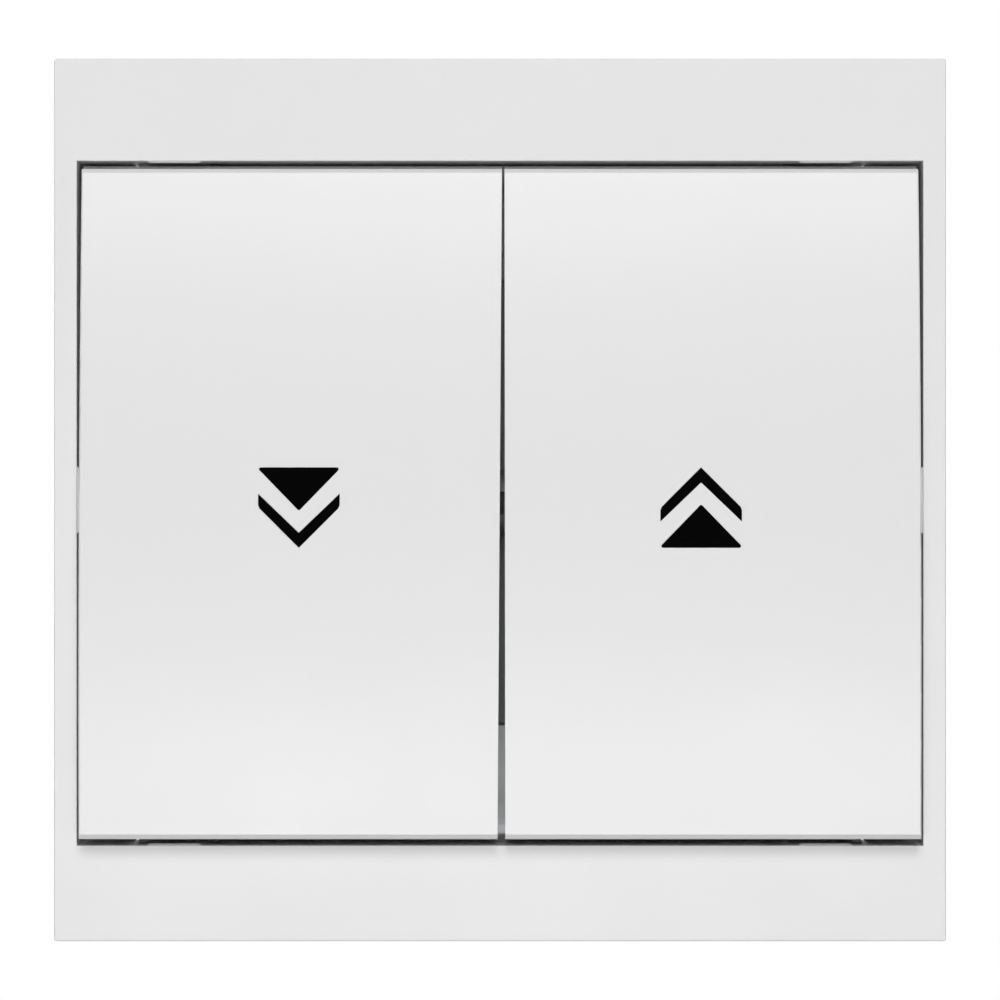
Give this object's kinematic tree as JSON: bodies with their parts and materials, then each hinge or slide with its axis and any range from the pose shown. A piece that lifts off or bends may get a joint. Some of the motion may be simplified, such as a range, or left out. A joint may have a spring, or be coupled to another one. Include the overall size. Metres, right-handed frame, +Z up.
{
  "type": "roller shutter switch",
  "caption": "Flush roller shutter switch: side-by-side down and up rockers in a square cover frame, on a steel plate with a sprung contact block behind it.",
  "frame": {"origin": "centre of the mounting plate on the wall surface, level with the rockers' pivot", "axes": "+X to the right, +Z up, the front faces -Y and the contact block reaches into the wall along +Y"},
  "size_m": [0.0854, 0.0333, 0.0844],
  "materials": {
    "frame_plastic": "satin white, moulded",
    "rocker_plastic": "satin white, moulded",
    "symbol_black": "black, flush with the face",
    "lever_plastic": "off-white, moulded",
    "plunger_plastic": "natural, moulded",
    "cover_plastic": "grey, moulded",
    "base_plastic": "light grey, moulded",
    "plate_steel": "zinc-plated sheet",
    "rivet_steel": "plated",
    "screw_steel": "plated",
    "spring_steel": "drawn wire",
    "contact_brass": "stamped sheet",
    "terminal_brass": "machined",
    "contact_silver": "silver, polished"
  },
  "bodies": {
    "switch_unit": {"cover_frame": "frame_plastic", "mounting_plate": "plate_steel", "mechanism_cover": "cover_plastic", "mechanism_base": "base_plastic", "top_left_rivet": "rivet_steel", "top_right_rivet": "rivet_steel", "lower_left_rivet": "rivet_steel", "lower_right_rivet": "rivet_steel", "down_spring": "spring_steel", "up_spring": "spring_steel", "line_contact": "contact_brass", "link_contact": "contact_brass", "down_contact": "contact_brass", "up_contact": "contact_brass", "fixed_contact_tips": "contact_silver", "down_terminal": "terminal_brass", "down_terminal_screw": "screw_steel", "up_terminal": "terminal_brass", "up_terminal_screw": "screw_steel", "line_terminal": "terminal_brass", "line_terminal_screw": "screw_steel"},
    "down_rocker": {"down_rocker": "rocker_plastic", "down_symbol": "symbol_black", "down_lever": "lever_plastic"},
    "up_rocker": {"up_rocker": "rocker_plastic", "up_symbol": "symbol_black", "up_lever": "lever_plastic"},
    "down_plunger": {"down_plunger": "plunger_plastic", "down_bridge": "contact_brass", "down_bridge_tips": "contact_silver"},
    "up_plunger": {"up_plunger": "plunger_plastic", "up_bridge": "contact_brass", "up_bridge_tips": "contact_silver"}
  },
  "joints": [
    {"name": "down_rocker_tilt", "type": "hinge", "parent": "switch_unit", "child": "down_rocker", "pos_m": [0, -0.0045, 0], "axis": [1, 0, 0], "range_deg": [0, 6], "stiffness_Nm_per_rad": 0.4, "springref_deg": -7.45},
    {"name": "up_rocker_tilt", "type": "hinge", "parent": "switch_unit", "child": "up_rocker", "pos_m": [0, -0.0045, 0], "axis": [1, 0, 0], "range_deg": [0, 6], "stiffness_Nm_per_rad": 0.4, "springref_deg": -7.45},
    {"name": "down_plunger_slide", "type": "slide", "parent": "switch_unit", "child": "down_plunger", "axis": [0, 1, 0], "range_m": [0, 0.00125], "deforming": ["down_spring"]},
    {"name": "up_plunger_slide", "type": "slide", "parent": "switch_unit", "child": "up_plunger", "axis": [0, 1, 0], "range_m": [0, 0.00125], "deforming": ["up_spring"]}
  ],
  "couplings": [
    {"joint": "down_plunger_slide", "follows": "down_rocker_tilt", "m_per_rad": 0.011895},
    {"joint": "up_plunger_slide", "follows": "up_rocker_tilt", "m_per_rad": 0.011895}
  ]
}
